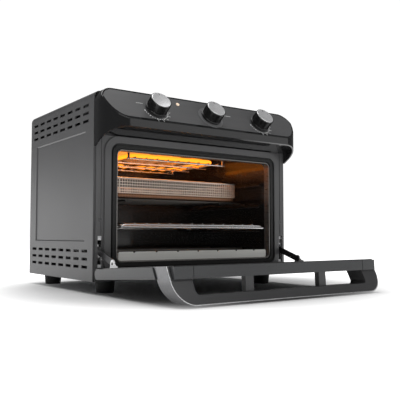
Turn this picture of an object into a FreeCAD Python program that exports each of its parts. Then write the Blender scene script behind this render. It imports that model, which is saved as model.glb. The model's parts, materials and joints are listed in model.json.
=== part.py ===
import FreeCAD, Part
import math
import os

# Countertop air fryer oven with a drop-down door, shown with the door open.
# All sizes are in millimetres. X runs to the right, Y runs from the front to the back, Z runs up.
# The parts are laid out with the front frame's face at Y = 0 and the counter at Z = 0,
# then moved along Y so that the origin is under the middle of the object with its door open.

V = FreeCAD.Vector

# Cabinet
BODY_WIDTH = 390.0
BODY_BACK = 279.0
BODY_BASE = 19.0
BODY_TOP = 309.0
SHEET = 1.2
SHELL_RADIUS = 10.0
SHELL_FRONT = 2.0
HALF = BODY_WIDTH / 2
SHELL_INSIDE = HALF - SHEET

# Louvres and sunk field in each side of the shell
VENT_COLUMNS = 8
VENT_ROWS = 3
VENT_PITCH = 30.7
VENT_ROW_PITCH = 12.2
VENT_LENGTH = 20.0
VENT_HEIGHT = 4.4
VENT_FIRST_Y = 31.0
UPPER_VENT_Z = BODY_BASE + 246.0
LOWER_VENT_Z = BODY_BASE + 21.0
FIELD_Y = (32.0, 241.5)
FIELD_Z = (BODY_BASE + 60.0, BODY_BASE + 230.5)
FIELD_DEPTH = 1.6

# Front frame, its bead and the oven's mouth, each a rounded rectangle about X = 0
FRAME_DEPTH = 3.0
FRAME_HALF = 191.5
FRAME_RETURN = (190.6, 193.5, 2.6, 9.0)
FRAME_TOP = BODY_BASE + 222.5
MOUTH = (155.5, BODY_BASE + 30.0, BODY_BASE + 201.0, 8.0)
MOUTH_WALL = 1.5
GASKET_OUT = (167.2, BODY_BASE + 18.8, BODY_BASE + 211.2, 14.0)
BEAD_IN = (167.5, BODY_BASE + 18.5, BODY_BASE + 211.5, 14.3)
BEAD_OUT = (178.0, BODY_BASE + 8.0, BODY_BASE + 221.8, 24.0)
BEAD_PROUD = 3.0
ARM_X = 184.0
ARM_SLOT = (ARM_X - 3.8, ARM_X + 3.8, 40.0, 87.5)
COLUMN_GROOVE = (182.2, 183.8)
EAR_X = (187.4, 189.9)
EAR_Z = (24.0, 38.0)
EAR_RADIUS = 7.0

# Cavity
CAVITY_HALF = 160.0
CAVITY_FRONT = 12.0
CAVITY_BACK = 262.0
CAVITY_FLOOR = BODY_BASE + 30.0
CAVITY_CEILING = BODY_BASE + 214.0
CAVITY_SHEET = 1.0
LEDGE_DEPTH = 11.0
LEDGE_HEIGHT = 5.0
RACK_LEDGE = 99.5
CARRIER_LEDGE = 145.0
UPPER_LEDGE = 185.0
ELEMENT_RADIUS = 3.2
UPPER_ELEMENT_Z = 226.0
LOWER_ELEMENT_Z = 62.0
LOWER_ELEMENT_YS = (85.0, 190.0)
FAN_Y = 150.0
FAN_HOLE = 72.0
FAN_TOP = CAVITY_CEILING + CAVITY_SHEET + 26.0

# Hood with the sloping control panel
HOOD_FRONT = -47.3
HOOD_CORNER = 36.4
HOOD_WALL = 2.3
NOSE_LOW = BODY_BASE + 231.5
NOSE_HIGH = BODY_BASE + 243.0
PANEL_TOP_Y = -8.0
HOOD_TOP = 313.5
HOOD_TOP_CORNER = 24.0
HOOD_EDGE = 0.8
CHEEK_LOW = BODY_BASE + 204.0
CHEEK_Y = -2.0
RECESS_BACK = BODY_BASE + 222.8
HOOD_BACK = 2.0
PANEL_TILT = math.degrees(math.atan2(HOOD_TOP - NOSE_HIGH, PANEL_TOP_Y - HOOD_FRONT))
PANEL_LENGTH = math.hypot(HOOD_TOP - NOSE_HIGH, PANEL_TOP_Y - HOOD_FRONT)

# Controls
KNOB_XS = {"timer": -106.0, "temperature": 0.0, "function": 106.0}
KNOB_UP_PANEL = 26.5
KNOB_RADIUS = 17.2
KNOB_HEIGHT = 20.0
PLATE_MARGIN = 2.8
PLATE_SHEET = 1.0
NECK_RADIUS = 5.0
SHAFT_RADIUS = 3.0
RUNNING_CLEARANCE = 0.06
KNOB_FOOT = 0.6
KNOB_LIFT = 1.4
PILOT = (-57.0, 48.0)
PILOT_RADIUS = 2.2
RING_RADIUS = 23.0

# Door, drawn closed and then swung open about the hinge axis
HINGE_Y = -12.0
HINGE_Z = 31.0
OPEN_ANGLE = 86.5
DOOR_HALF = 194.0
DOOR_SHOULDER = 187.5
DOOR_INNER = -3.5
LINING = 1.2
DOOR_OUTER = -20.0
DOOR_BOTTOM = HINGE_Z - 8.0
DOOR_TOP = 230.0
WINDOW = (148.0, 54.0, 212.0, 6.0)
GLASS = (155.0, 47.0, 219.0, 4.0)
PIN_RADIUS = 3.0
LUG_REACH = 33.0
LUG_RISE = 6.0
LUG_Y = DOOR_INNER + LUG_RISE
LUG_Z = HINGE_Z + LUG_REACH
LUG_X = (184.2, 185.8)
ARM_SIDES = (182.0, 183.9)
HANDLE_HALF = 192.0
HANDLE_OUTER = -52.8
HANDLE_BAR = 12.5
HANDLE_ROOT = 226.0
HANDLE_SLOPE = 0.47
HANDLE_DEPTH = 29.5
HANDLE_CORNER = 30.0
CHEEK_GAP = 0.7
TRIM = 1.2
LEG_INNER = 159.5
POST_X = 69.0
POST_HALF = 6.9
POST_TOP = DOOR_TOP - 0.5
POST_DEPTH = 8.5
ARM_LENGTH = 78.0
ARM_RISE = 18.3

# Removable ware
RACK_HALF = 151.5
CARRIER_HALF = 152.0
RACK_FRONT = 4.0
RACK_BACK = 250.0
BASKET_HALF = 129.0
BASKET_FRONT = 60.0
BASKET_BACK = 240.0
BASKET_LOW = 159.0
BASKET_HIGH = 182.5
CARRIER_ROUTE = [
    (-1, CARRIER_HALF + 0.4, CARRIER_LEDGE + 3.6),
    (-1, 132.0, CARRIER_LEDGE + 5.2),
    (1, 132.0, CARRIER_LEDGE + 5.2),
    (1, CARRIER_HALF + 0.4, CARRIER_LEDGE + 3.6),
]
TRAY_HALF = 151.0
TRAY_FRONT_HEIGHT = 13.7
TRAY_NOTCHES = 7
TRAY_NOTCH_PITCH = 41.0

# Fasteners, feet and the cord's gland
GLAND = (140.0, 52.0)
GLAND_NECK = 7.0
SCREW_SHANK = 1.6
BACK_SCREWS = [(x, z) for x in (-182.0, 182.0) for z in (40.0, 160.0, 292.0)]
FOOT_PLACES = [(x, y) for x in (-161.0, 161.0) for y in (28.0, 240.0)]

FRONT_FACE_Y = -30.0


def box(x, y, z):
    """A block between the two limits given for each axis."""
    return Part.makeBox(x[1] - x[0], y[1] - y[0], z[1] - z[0], V(x[0], y[0], z[0]))


def rod(start, end, radius):
    """A round bar from one point to another."""
    line = V(*end) - V(*start)
    return Part.makeCylinder(radius, line.Length, V(*start), line)


def disc(centre, axis, radius, height):
    return Part.makeCylinder(radius, height, V(*centre), V(*axis))


def fuse(shapes):
    first, rest = shapes[0], shapes[1:]
    return first.fuse(rest).removeSplitter() if rest else first


def slab(outline, y):
    """A rounded rectangle standing in the XZ plane: half width, low Z, high Z and corner radius."""
    half, low, high, radius = outline
    block = box((-half, half), y, (low, high))
    edges = [e for e in block.Edges if abs(e.tangentAt(e.FirstParameter).y) > 0.99]
    return block.makeFillet(radius, edges)


def mirrored(shape):
    """The same piece on the other side of the oven."""
    return shape.mirror(V(0, 0, 0), V(1, 0, 0))


def extrude_side(points, x):
    """A side profile in the YZ plane, extruded along X."""
    wire = Part.makePolygon([V(x[0], y, z) for y, z in points + points[:1]])
    return Part.Face(wire).extrude(V(x[1] - x[0], 0, 0))


def bent_wire(points, radius, bend):
    """A wire through the points, with its corners rounded to the bend radius."""
    points = [V(*p) for p in points]
    edges = []
    start = points[0]
    for corner, after in zip(points[1:-1], points[2:]):
        into = (corner - start).normalize()
        out = (after - corner).normalize()
        half_turn = into.getAngle(out) / 2
        cut = bend * math.tan(half_turn)
        first = corner - into * cut
        last = corner + out * cut
        middle = corner + (out - into).normalize() * (bend / math.cos(half_turn) - bend)
        edges.append(Part.LineSegment(start, first).toShape())
        edges.append(Part.Arc(first, middle, last).toShape())
        start = last
    edges.append(Part.LineSegment(start, points[-1]).toShape())
    path = Part.Wire(edges)
    section = Part.Wire(Part.makeCircle(radius, points[0], points[1] - points[0]))
    return path.makePipeShell([section], True, True)


def save(name, shape):
    moved = shape.copy()
    moved.translate(V(0, FRONT_FACE_Y, 0))
    moved.exportStep(f"parts/{name}.step")


def swing_open(shape):
    """Turns a piece of the closed door down to the open position."""
    turned = shape.copy()
    turned.rotate(V(0, HINGE_Y, HINGE_Z), V(1, 0, 0), OPEN_ANGLE)
    return turned


# ---------------------------------------------------------------- cabinet

def rounded_cabinet(half, front, back, low, high, radius):
    block = box((-half, half), (front, back), (low, high))
    chosen = []
    for edge in block.Edges:
        bounds = edge.BoundBox
        along_top_side = bounds.YLength > 1 and bounds.ZMin > high - 0.1
        up_rear = bounds.ZLength > 1 and bounds.YMin > back - 0.1
        across_rear = bounds.XLength > 1 and bounds.YMin > back - 0.1 and bounds.ZMin > high - 0.1
        if along_top_side or up_rear or across_rear:
            chosen.append(edge)
    return block.makeFillet(radius, chosen)


def side_vents():
    cutters = []
    for low in (UPPER_VENT_Z, LOWER_VENT_Z):
        for row in range(VENT_ROWS):
            for column in range(VENT_COLUMNS):
                y = VENT_FIRST_Y + column * VENT_PITCH - VENT_LENGTH / 2
                z = low + row * VENT_ROW_PITCH - VENT_HEIGHT / 2
                cutters.append(box((-HALF - 5, HALF + 5), (y, y + VENT_LENGTH), (z, z + VENT_HEIGHT)))
    return cutters


def sunk_field(depth, margin):
    """The hollow pressed into the right side, with sloping borders."""
    top = HALF + 1.0
    block = box(
        (HALF - depth, top),
        (FIELD_Y[0] - margin, FIELD_Y[1] + margin),
        (FIELD_Z[0] - margin, FIELD_Z[1] + margin),
    )
    floor_edges = [e for e in block.Edges if e.BoundBox.XMax < HALF - depth + 0.1]
    return block.makeChamfer(depth, floor_edges)


def outer_shell():
    outside = rounded_cabinet(HALF, SHELL_FRONT, BODY_BACK, BODY_BASE, BODY_TOP, SHELL_RADIUS)
    inside = rounded_cabinet(
        SHELL_INSIDE,
        SHELL_FRONT - 1,
        BODY_BACK - SHEET,
        BODY_BASE - 1,
        BODY_TOP - SHEET,
        SHELL_RADIUS - SHEET,
    )
    pressed = sunk_field(FIELD_DEPTH + SHEET, SHEET)
    inside = inside.cut([pressed, mirrored(pressed)])
    field = sunk_field(FIELD_DEPTH, 0.0)
    window = box((-HALF + 17, HALF - 17), (BODY_BACK - 6, BODY_BACK + 6), (BODY_BASE - 1, BODY_TOP - 19))
    holes = [disc((x, BODY_BACK - 6, z), (0, 1, 0), SCREW_SHANK, 12) for x, z in BACK_SCREWS]
    return outside.cut([inside, field, mirrored(field), window] + side_vents() + holes)


def back_panel():
    low, high = BODY_BASE + 2.0, BODY_TOP - 12.0
    plate = box((-184.5, 184.5), (BODY_BACK - 2 * SHEET, BODY_BACK - SHEET), (low, high))
    cutters = []
    for row in range(7):
        for column in range(7):
            x = -96 + column * 32
            z = 150 + row * 16
            cutters.append(box((x - 11, x + 11), (270, 285), (z - 2.2, z + 2.2)))
    cutters.append(disc((GLAND[0], 270, GLAND[1]), (0, 1, 0), GLAND_NECK, 20))
    for x, z in BACK_SCREWS:
        cutters.append(disc((x, 270, z), (0, 1, 0), SCREW_SHANK, 20))
    return plate.cut(cutters)


def cord_gland():
    """The bushing in the back panel that the mains lead leaves through."""
    outer = disc((GLAND[0], BODY_BACK - SHEET, GLAND[1]), (0, 1, 0), 10.0, 7.0)
    neck = disc((GLAND[0], BODY_BACK - 8, GLAND[1]), (0, 1, 0), GLAND_NECK, 8)
    inner = disc((GLAND[0], BODY_BACK - 8, GLAND[1]), (0, 1, 0), 9.0, 8 - 2 * SHEET)
    hole = disc((GLAND[0], BODY_BACK - 20, GLAND[1]), (0, 1, 0), 3.6, 40)
    return fuse([outer, neck, inner]).cut(hole)


def back_screws():
    """Pan-head screws that hold the back panel to the shell's rear lip."""
    screws = []
    for x, z in BACK_SCREWS:
        head = disc((x, BODY_BACK, z), (0, 1, 0), 3.4, 1.8)
        shank = disc((x, BODY_BACK - 7, z), (0, 1, 0), SCREW_SHANK, 7)
        screws.append(fuse([head, shank]))
    return screws


def base_plate():
    plate = box((-193.4, 193.4), (4, BODY_BACK - SHELL_RADIUS - 1), (BODY_BASE, BODY_BASE + SHEET))
    cutters = []
    for row in range(4):
        for column in range(9):
            x = -128 + column * 32
            y = 90 + row * 36
            cutters.append(box((x - 10, x + 10), (y - 2.5, y + 2.5), (BODY_BASE - 2, BODY_BASE + 4)))
    for x, y in FOOT_PLACES:
        cutters.append(disc((x, y, BODY_BASE - 2), (0, 0, 1), SCREW_SHANK, 6))
    return plate.cut(cutters)


def foot(place):
    x, y = place
    body = Part.makeCone(13.5, 15.5, BODY_BASE, V(x, y, 0), V(0, 0, 1))
    return body.cut(disc((x, y, 0), (0, 0, 1), 4.2, 12).fuse(disc((x, y, 0), (0, 0, 1), SCREW_SHANK, 25)))


def foot_screws():
    screws = []
    for x, y in FOOT_PLACES:
        head = disc((x, y, 9.5), (0, 0, 1), 3.4, 2.5)
        shank = disc((x, y, 9.5), (0, 0, 1), SCREW_SHANK, 14)
        screws.append(fuse([head, shank]))
    return screws


# ---------------------------------------------------------------- front frame and cavity

def front_frame():
    """Pressed front: two columns, a raised bead round the mouth and a return down each side."""
    plate = box((-FRAME_HALF, FRAME_HALF), (0, FRAME_DEPTH), (BODY_BASE, FRAME_TOP))
    fold = box(FRAME_RETURN[:2], FRAME_RETURN[2:], (BODY_BASE + 3, FRAME_TOP))
    bead = slab(BEAD_OUT, (-BEAD_PROUD, 1.0))
    slot = box(ARM_SLOT[:2], (-5, 8), ARM_SLOT[2:])
    ear_slot = box((EAR_X[0] - 0.4, EAR_X[1] + 0.4), (-5, 8), (EAR_Z[0] - 0.4, EAR_Z[1] + 0.4))
    groove = box(COLUMN_GROOVE, (-1, 1.0), (ARM_SLOT[3] - 1, FRAME_TOP + 1))
    frame = plate.fuse([bead, fold, mirrored(fold)]).removeSplitter()
    cutters = [slab(BEAD_IN, (-9, 9)), slot, mirrored(slot), ear_slot, mirrored(ear_slot)]
    cutters += [groove, mirrored(groove)]
    return frame.cut(cutters)


def hinge_bracket():
    """Plated steel bracket behind the frame's column, whose ear carries the door's hinge pin."""
    plate = box((178, 190.3), (FRAME_DEPTH, FRAME_DEPTH + 1.5), (22.5, 96))
    window = box((ARM_SLOT[0] - 0.2, ARM_SLOT[1] + 0.2), (0, 9), (44.5, 81.5))
    tab = box((ARM_SLOT[1] + 0.2, 189.6), (FRAME_DEPTH, 9), (66, 82))
    stud = disc((184.4, 6.0, 72.8), (1, 0, 0), 2.0, 4.4)
    ear = box(EAR_X, (HINGE_Y, FRAME_DEPTH + 1.5), EAR_Z)
    nose = disc((EAR_X[0], HINGE_Y, HINGE_Z), (1, 0, 0), EAR_RADIUS, EAR_X[1] - EAR_X[0])
    bore = disc((170, HINGE_Y, HINGE_Z), (1, 0, 0), PIN_RADIUS + RUNNING_CLEARANCE, 30)
    return fuse([plate.cut(window), ear, nose, tab, stud]).cut(bore)


def door_gasket():
    mouth_outside = (MOUTH[0] + 2 * MOUTH_WALL, MOUTH[1] - 2 * MOUTH_WALL, MOUTH[2] + 2 * MOUTH_WALL, 9.5)
    ring = slab(GASKET_OUT, (0.5, FRAME_DEPTH))
    lip_out = (GASKET_OUT[0] - 3.0, GASKET_OUT[1] + 3.0, GASKET_OUT[2] - 3.0, 12.0)
    lip = slab(lip_out, (-2.0, 1.0))
    return ring.fuse(lip).removeSplitter().cut(slab(mouth_outside, (-9, 9)))


def cavity_mouth():
    """The flanged steel collar that joins the cavity to the front."""
    outer = (MOUTH[0] + MOUTH_WALL, MOUTH[1] - MOUTH_WALL, MOUTH[2] + MOUTH_WALL, MOUTH[3] + MOUTH_WALL)
    outline = (CAVITY_HALF + 6, CAVITY_FLOOR - 9, CAVITY_CEILING + 7, 4.0)
    flange = slab(outline, (CAVITY_FRONT - 1, CAVITY_FRONT))
    collar = slab(outer, (-1.0, CAVITY_FRONT))
    return collar.fuse(flange).removeSplitter().cut(slab(MOUTH, (-9, 20)))


def cavity_side():
    """Right cavity wall with three pressed ledges, pierced for the lower elements."""
    wall = box(
        (CAVITY_HALF, CAVITY_HALF + CAVITY_SHEET), (CAVITY_FRONT, CAVITY_BACK), (CAVITY_FLOOR, CAVITY_CEILING)
    )
    ledges = []
    for top in (RACK_LEDGE, CARRIER_LEDGE, UPPER_LEDGE):
        block = box((CAVITY_HALF - LEDGE_DEPTH, CAVITY_HALF + 0.5), (20, 254), (top - LEDGE_HEIGHT, top))
        tip = CAVITY_HALF - LEDGE_DEPTH + 0.1
        upper = [edge for edge in block.Edges if edge.BoundBox.XMax < tip and edge.Length > 100]
        ledges.append(block.makeFillet(2.0, upper))
    holes = [
        disc((CAVITY_HALF - 5, y, LOWER_ELEMENT_Z), (1, 0, 0), ELEMENT_RADIUS + 1.0, 12)
        for y in LOWER_ELEMENT_YS
    ]
    return wall.fuse(ledges).removeSplitter().cut(holes)


def cavity_top():
    outer = CAVITY_HALF + CAVITY_SHEET
    plate = box((-outer, outer), (CAVITY_FRONT, CAVITY_BACK), (CAVITY_CEILING, CAVITY_CEILING + CAVITY_SHEET))
    return plate.cut(disc((0, FAN_Y, CAVITY_CEILING - 5), (0, 0, 1), FAN_HOLE, 20))


def cavity_floor():
    outer = CAVITY_HALF + CAVITY_SHEET
    return box((-outer, outer), (CAVITY_FRONT, CAVITY_BACK), (CAVITY_FLOOR - CAVITY_SHEET, CAVITY_FLOOR))


def cavity_back():
    outer = CAVITY_HALF + CAVITY_SHEET
    plate = box(
        (-outer, outer),
        (CAVITY_BACK, CAVITY_BACK + CAVITY_SHEET),
        (CAVITY_FLOOR - CAVITY_SHEET, CAVITY_CEILING + CAVITY_SHEET),
    )
    holes = [
        disc((x, CAVITY_BACK - 5, UPPER_ELEMENT_Z), (0, 1, 0), ELEMENT_RADIUS + 1.0, 12)
        for x in (-14, 14)
    ]
    return plate.cut(holes)


def upper_element():
    """Sheathed heating tube, one loop under the fan with both ends through the back wall."""
    half, front, back = 88.0, 80.0, 232.0
    z = UPPER_ELEMENT_Z
    route = [
        (-14, 272, z),
        (-14, back, z),
        (-half, back, z),
        (-half, front, z),
        (half, front, z),
        (half, back, z),
        (14, back, z),
        (14, 272, z),
    ]
    collars = [rod((x, 263, z), (x, 267, z), 6.0) for x in (-14, 14)]
    return fuse([bent_wire(route, ELEMENT_RADIUS, 16.0)] + collars)


def element_guard():
    """Welded wire guard under the upper element, hung from the ceiling on four legs."""
    z = 218.5
    half, front, back = 100.0, 66.0, 240.0
    pieces = []
    for y in (front, 124.0, 182.0, back):
        pieces.append(rod((-half - 3, y, z), (half + 3, y, z), 1.6))
    for i in range(9):
        x = -88 + i * 22
        pieces.append(rod((x, front - 3, z + 2.2), (x, back + 3, z + 2.2), 1.1))
    for x in (-half, half):
        for y in (front, back):
            pieces.append(rod((x, y, z - 1.2), (x, y, CAVITY_CEILING), 2.0))
    return fuse(pieces)


def lower_elements():
    """Two straight sheathed heating tubes across the bottom of the cavity."""
    tubes = []
    for y in LOWER_ELEMENT_YS:
        tube = rod((-170, y, LOWER_ELEMENT_Z), (170, y, LOWER_ELEMENT_Z), ELEMENT_RADIUS)
        collars = [
            rod((side * 161.0, y, LOWER_ELEMENT_Z), (side * 165.0, y, LOWER_ELEMENT_Z), 6.0)
            for side in (-1, 1)
        ]
        tubes.append(fuse([tube] + collars))
    return tubes


# ---------------------------------------------------------------- fan

def fan_housing():
    """The pressed can over the ceiling's hole, in which the fan turns."""
    low = CAVITY_CEILING + CAVITY_SHEET
    can = disc((0, FAN_Y, low), (0, 0, 1), FAN_HOLE + 6, 26)
    hollow = disc((0, FAN_Y, low - 1), (0, 0, 1), FAN_HOLE + 5, 26)
    rim = disc((0, FAN_Y, low), (0, 0, 1), FAN_HOLE + 12, 1)
    rim = rim.cut(disc((0, FAN_Y, low - 1), (0, 0, 1), FAN_HOLE + 4, 3))
    bore = disc((0, FAN_Y, low), (0, 0, 1), 6.0, 40)
    return can.cut(hollow.fuse(bore)).fuse(rim).removeSplitter()


def fan_motor():
    body = disc((0, FAN_Y, FAN_TOP + 2), (0, 0, 1), 27, 30)
    base = box((-38, 38), (FAN_Y - 12, FAN_Y + 12), (FAN_TOP, FAN_TOP + 3))
    bore = disc((0, FAN_Y, FAN_TOP - 1), (0, 0, 1), SHAFT_RADIUS + RUNNING_CLEARANCE, 24)
    return body.fuse(base).removeSplitter().cut(bore)


def fan_shaft():
    return disc((0, FAN_Y, CAVITY_CEILING + 4), (0, 0, 1), SHAFT_RADIUS, FAN_TOP + 22 - CAVITY_CEILING - 4)


def fan_blade():
    """Pressed impeller with flat blades turned up from a disc."""
    z = CAVITY_CEILING + 8
    plate = disc((0, FAN_Y, z), (0, 0, 1), 60, 1.0)
    hub = disc((0, FAN_Y, z - 2), (0, 0, 1), 7, 12)
    pieces = [plate, hub]
    for i in range(12):
        blade = box((30, 60), (FAN_Y - 0.5, FAN_Y + 0.5), (z, z + 11))
        blade.rotate(V(0, FAN_Y, 0), V(0, 0, 1), i * 30)
        pieces.append(blade)
    return fuse(pieces).cut(disc((0, FAN_Y, z - 5), (0, 0, 1), SHAFT_RADIUS, 30))


# ---------------------------------------------------------------- hood and controls

def hood_plan(inset, z):
    """The hood seen from above: straight sides, rounded front corners."""
    block = box((-HALF + inset, HALF - inset), (HOOD_FRONT + inset, HOOD_BACK + inset), z)
    corners = [e for e in block.Edges if e.BoundBox.ZLength > 1 and e.BoundBox.YMax < HOOD_FRONT + inset + 1]
    return block.makeFillet(HOOD_CORNER - inset, corners)


def panel_point(up, out):
    """A point in the side view, measured up the control panel from the nose and out from its face."""
    tilt = math.radians(PANEL_TILT)
    y = HOOD_FRONT + up * math.cos(tilt) - out * math.sin(tilt)
    z = NOSE_HIGH + up * math.sin(tilt) + out * math.cos(tilt)
    return y, z


def panel_axis():
    tilt = math.radians(PANEL_TILT)
    return (0, -math.sin(tilt), math.cos(tilt))


def panel_block(up, out):
    """A sheet lying along the panel, between limits up it and out from it."""
    block = box((-HALF, HALF), up, out)
    block.rotate(V(0, 0, 0), V(1, 0, 0), PANEL_TILT)
    block.translate(V(0, HOOD_FRONT, NOSE_HIGH))
    return block


def panel_disc(x, up, out, radius, height):
    y, z = panel_point(up, out)
    return disc((x, y, z), panel_axis(), radius, height)


def hood_front_view(inset):
    """The hood seen from the front: a long block with rounded upper corners."""
    return slab((HALF - inset, BODY_BASE, HOOD_TOP - inset, HOOD_TOP_CORNER - inset), (HOOD_FRONT - 5, 10))


def soften_slope(shape):
    """Rounds the edges round the hood's sloping face."""
    axis = V(*panel_axis())
    foot = V(0, HOOD_FRONT, NOSE_HIGH)
    chosen = []
    for edge in shape.Edges:
        middle = edge.valueAt((edge.FirstParameter + edge.LastParameter) / 2)
        places = [middle] + [vertex.Point for vertex in edge.Vertexes]
        if all(abs((place - foot).dot(axis)) < 0.01 for place in places):
            chosen.append(edge)
    return shape.makeFillet(HOOD_EDGE, chosen)


def control_hood():
    below, above = BODY_BASE + 190, HOOD_TOP + 5
    profile = [
        (HOOD_FRONT, NOSE_LOW),
        (HOOD_FRONT, NOSE_HIGH),
        (PANEL_TOP_Y, HOOD_TOP),
        (HOOD_BACK, HOOD_TOP),
        (HOOD_BACK, FRAME_TOP),
        (0.0, FRAME_TOP),
        (0.0, CHEEK_LOW),
        (CHEEK_Y, CHEEK_LOW),
    ]
    outside = hood_plan(0.0, (below, above)).common(extrude_side(profile, (-HALF - 1, HALF + 1)))
    outside = soften_slope(outside.common(hood_front_view(0.0)))
    room = [
        (HOOD_FRONT + HOOD_WALL, NOSE_LOW + HOOD_WALL),
        (HOOD_FRONT + HOOD_WALL, NOSE_HIGH - 1.0),
        (PANEL_TOP_Y + 1.5, HOOD_TOP - HOOD_WALL),
        (HOOD_BACK + 3, HOOD_TOP - HOOD_WALL),
        (HOOD_BACK + 3, RECESS_BACK + HOOD_WALL),
        (0.0, RECESS_BACK + HOOD_WALL),
    ]
    inside = hood_plan(HOOD_WALL, (below, above)).common(extrude_side(room, (-HALF, HALF)))
    inside = inside.common(hood_front_view(HOOD_WALL))
    recess = [
        (HOOD_FRONT + HOOD_WALL, NOSE_LOW - 40),
        (HOOD_FRONT + HOOD_WALL, NOSE_LOW + 0.5),
        (0.0, RECESS_BACK),
        (HOOD_BACK + 3, RECESS_BACK),
        (HOOD_BACK + 3, NOSE_LOW - 40),
    ]
    underside = hood_plan(HOOD_WALL, (below, above)).common(extrude_side(recess, (-HALF, HALF)))
    return outside.cut([inside, underside, plate_blank()] + panel_holes())


def plate_blank():
    """The control panel's plate: the sloping face's own outline, drawn in by a margin."""
    sheet = panel_block((PLATE_MARGIN, PANEL_LENGTH - PLATE_MARGIN), (-PLATE_SHEET, 0.0))
    return sheet.common(hood_plan(PLATE_MARGIN, (BODY_BASE, HOOD_TOP))).common(hood_front_view(PLATE_MARGIN))


def panel_holes():
    necks = [panel_disc(x, KNOB_UP_PANEL, -10, NECK_RADIUS, 20) for x in KNOB_XS.values()]
    return necks + [panel_disc(PILOT[0], PILOT[1], -10, PILOT_RADIUS, 20)]


def control_panel():
    """Satin plate let into the hood's sloping face, around the three knobs."""
    return plate_blank().cut(panel_holes())


def dial_ring():
    """Flat metal ring set on the panel behind the middle knob."""
    ring = panel_disc(0, KNOB_UP_PANEL, 0, RING_RADIUS, 0.9)
    return ring.cut(panel_disc(0, KNOB_UP_PANEL, -1, NECK_RADIUS + 0.8, 4))


def pilot_lamp():
    stem = panel_disc(PILOT[0], PILOT[1], -6, PILOT_RADIUS, 6)
    head = panel_disc(PILOT[0], PILOT[1], 0, 2.9, 1.2)
    return stem.fuse(head).removeSplitter()


def control_unit(x, half, depth):
    """Switch, thermostat or clockwork body behind the panel, its neck bored for the shaft."""
    y, z = panel_point(KNOB_UP_PANEL, 0)
    block = Part.makeBox(2 * half, 2 * half, depth, V(x - half, -half, -depth))
    block.rotate(V(0, 0, 0), V(1, 0, 0), PANEL_TILT)
    block.translate(V(0, y, z) + V(*panel_axis()) * (-HOOD_WALL - 0.6))
    neck = panel_disc(x, KNOB_UP_PANEL, -HOOD_WALL - 1.6, NECK_RADIUS, HOOD_WALL + 1.6)
    return fuse([block, neck]).cut(panel_disc(x, KNOB_UP_PANEL, -60, SHAFT_RADIUS + RUNNING_CLEARANCE, 70))


def knob(x):
    """Round knob with a wider foot and a shallow seat for the cap."""
    foot_ring = panel_disc(x, KNOB_UP_PANEL, KNOB_LIFT, KNOB_RADIUS + KNOB_FOOT, 3.6)
    barrel = panel_disc(x, KNOB_UP_PANEL, KNOB_LIFT, KNOB_RADIUS, KNOB_HEIGHT)
    seat = panel_disc(x, KNOB_UP_PANEL, KNOB_LIFT + KNOB_HEIGHT - 1.0, KNOB_RADIUS - 1.2, 3.0)
    bore = panel_disc(x, KNOB_UP_PANEL, 0, SHAFT_RADIUS, 12.4)
    return barrel.fuse(foot_ring).removeSplitter().cut([seat, bore])


def knob_cap(x):
    return panel_disc(x, KNOB_UP_PANEL, KNOB_LIFT + KNOB_HEIGHT - 1.0, KNOB_RADIUS - 1.25, 1.4)


def knob_shaft(x):
    return panel_disc(x, KNOB_UP_PANEL, -14.0, SHAFT_RADIUS, 26.0)


# ---------------------------------------------------------------- door, drawn closed

def rounded_door_block(half, inner, outer, bottom, top):
    block = box((-half, half), (outer, inner), (bottom, top))
    lower = [e for e in block.Edges if e.BoundBox.XLength > 1 and e.BoundBox.ZMax < bottom + 0.1]
    return block.makeFillet(min(8.0, (inner - outer) / 2 - 0.05), lower)


def door_frame():
    """Coated door frame: as wide as the oven, narrower where the handle's cheeks wrap its ends."""
    block = rounded_door_block(DOOR_HALF, DOOR_INNER - LINING, DOOR_OUTER, DOOR_BOTTOM, DOOR_TOP)
    below = HANDLE_DEPTH + 0.8
    corners = [
        (DOOR_OUTER - 1, handle_slope(DOOR_OUTER - 1, below)),
        (0.0, handle_slope(0.0, below)),
        (0.0, DOOR_TOP + 1),
        (DOOR_OUTER - 1, DOOR_TOP + 1),
    ]
    shoulder = extrude_side(corners, (DOOR_SHOULDER, DOOR_HALF + 1))
    ear_room = box(
        (EAR_X[0] - 0.5, EAR_X[1] + 0.5), (DOOR_OUTER - 1, 0), (DOOR_BOTTOM - 1, HINGE_Z + EAR_RADIUS + 0.6)
    )
    window = slab(WINDOW, (DOOR_OUTER - 5, 5))
    pocket = slab(GLASS, (-16.0, 5))
    pin = disc((174.0, HINGE_Y, HINGE_Z), (1, 0, 0), PIN_RADIUS, 17.6)
    seams = [box((x - 0.5, x + 0.5), (-30, 5), (DOOR_TOP - 0.8, DOOR_TOP + 1)) for x in (-159.0, 159.0)]
    halves = [shoulder, ear_room, pin]
    return block.cut([window, pocket] + halves + [mirrored(half) for half in halves] + seams)


def door_inner_panel():
    """Thin steel lining of the door's inner side."""
    plate = slab((DOOR_SHOULDER - 0.7, HINGE_Z + 3.0, DOOR_TOP - 2.0, 3.0), (DOOR_INNER - LINING, DOOR_INNER))
    return plate.cut(slab(WINDOW, (-30, 5)))


def arm_lug():
    """Plated gusset riveted to the door's lining, which the link arm pivots on."""
    corners = [
        (DOOR_INNER, LUG_Z - 8),
        (LUG_Y, LUG_Z - 6),
        (LUG_Y, LUG_Z + 6),
        (DOOR_INNER + 2.5, LUG_Z + 10),
        (DOOR_INNER + 2.5, LUG_Z + 14),
        (DOOR_INNER, LUG_Z + 14),
    ]
    gusset = extrude_side(corners, LUG_X)
    nose = disc((LUG_X[0], LUG_Y, LUG_Z), (1, 0, 0), 6.0, LUG_X[1] - LUG_X[0])
    bore = disc((170, LUG_Y, LUG_Z), (1, 0, 0), 2.0 + RUNNING_CLEARANCE, 30)
    return fuse([gusset, nose]).cut(bore)


def pane(y):
    half, low, high, radius = GLASS
    return slab((half - 0.3, low + 0.3, high - 0.3, radius), y)


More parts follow.
